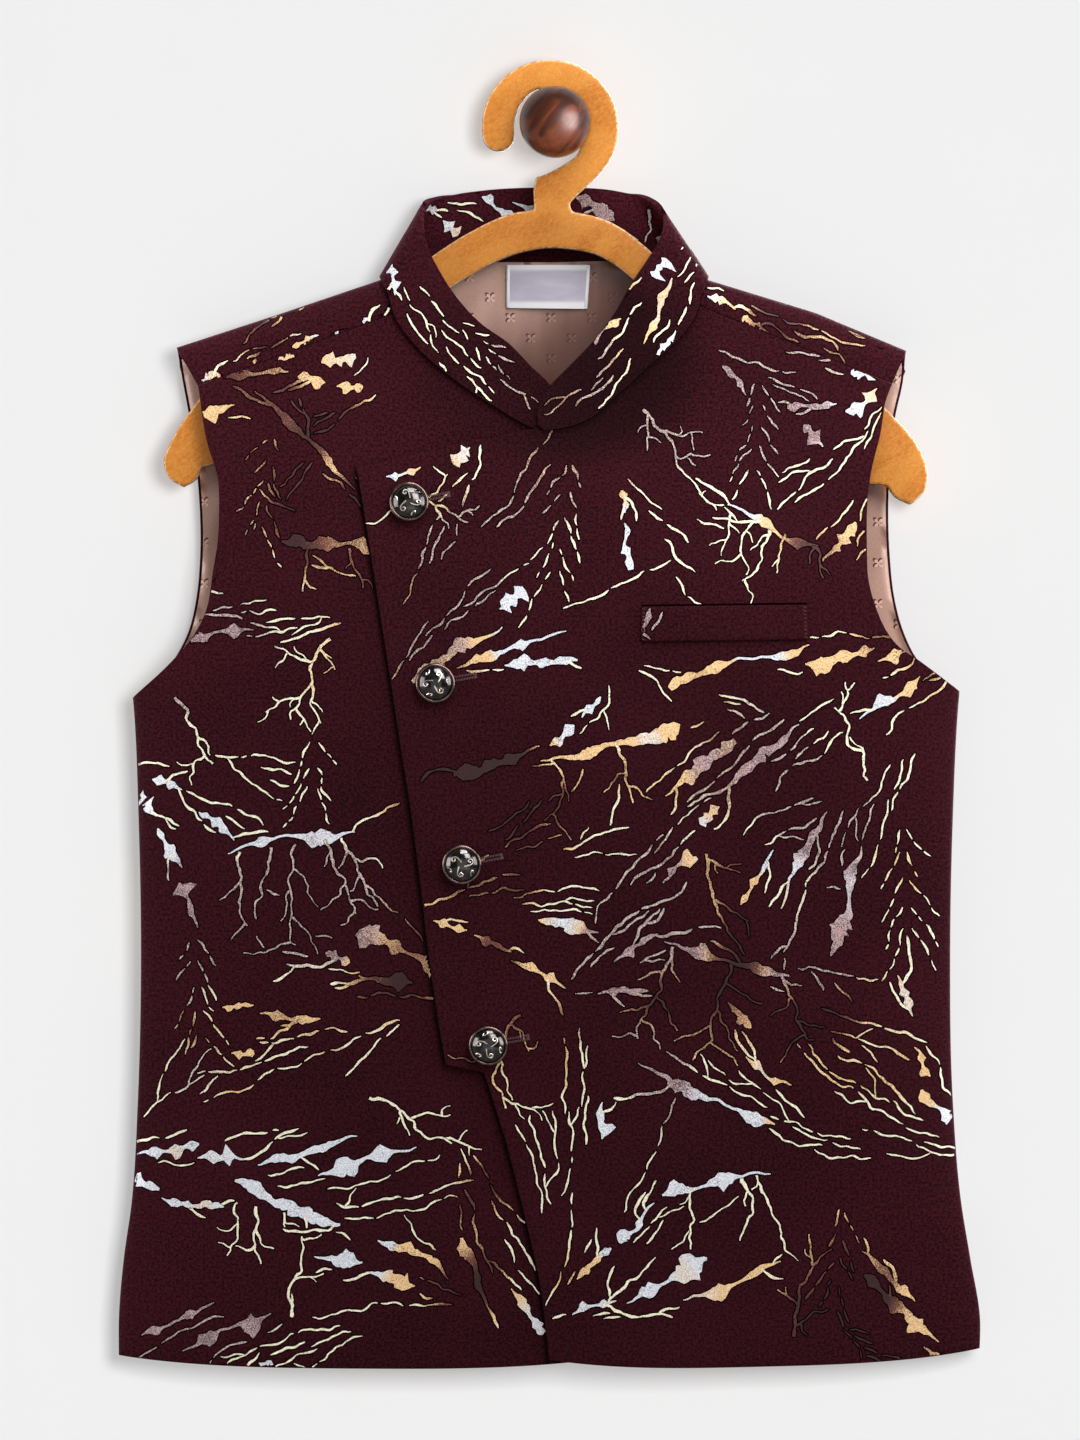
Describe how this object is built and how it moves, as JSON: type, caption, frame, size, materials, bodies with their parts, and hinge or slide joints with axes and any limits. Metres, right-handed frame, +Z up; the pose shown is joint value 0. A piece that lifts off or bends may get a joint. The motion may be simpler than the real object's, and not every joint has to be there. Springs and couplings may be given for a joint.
{
  "type": "nehru jacket on a wooden hanger and wall knob",
  "caption": "Child's sleeveless nehru jacket with a band collar and a lapped slanted front, hung on a flat wooden hanger from a turned wooden wall knob.",
  "frame": {"origin": "the middle of the wall knob's flat back, on its axis, in the plane of the wall", "axes": "+Z up, +X to the viewer's right, -Y out of the wall towards the viewer"},
  "size_m": [0.3539, 0.0491, 0.5371],
  "materials": {
    "suiting": "matte wine suiting with a metallic foil vein print",
    "lining_satin": "rose-brown satin with small woven flower dots",
    "label_satin": "white woven satin",
    "button_metal": "dark polished metal with a raised scroll",
    "pale_wood": "satin varnished pale orange wood",
    "dark_wood": "polished dark reddish wood"
  },
  "bodies": {
    "root": {"back": "suiting", "back_lining": "lining_satin", "front_right": "suiting", "front_left": "suiting", "collar": "suiting", "welt_pocket": "suiting", "label": "label_satin", "button_1": "button_metal", "button_2": "button_metal", "button_3": "button_metal", "button_4": "button_metal", "hanger": "pale_wood", "wall_knob": "dark_wood"}
  },
  "joints": []
}
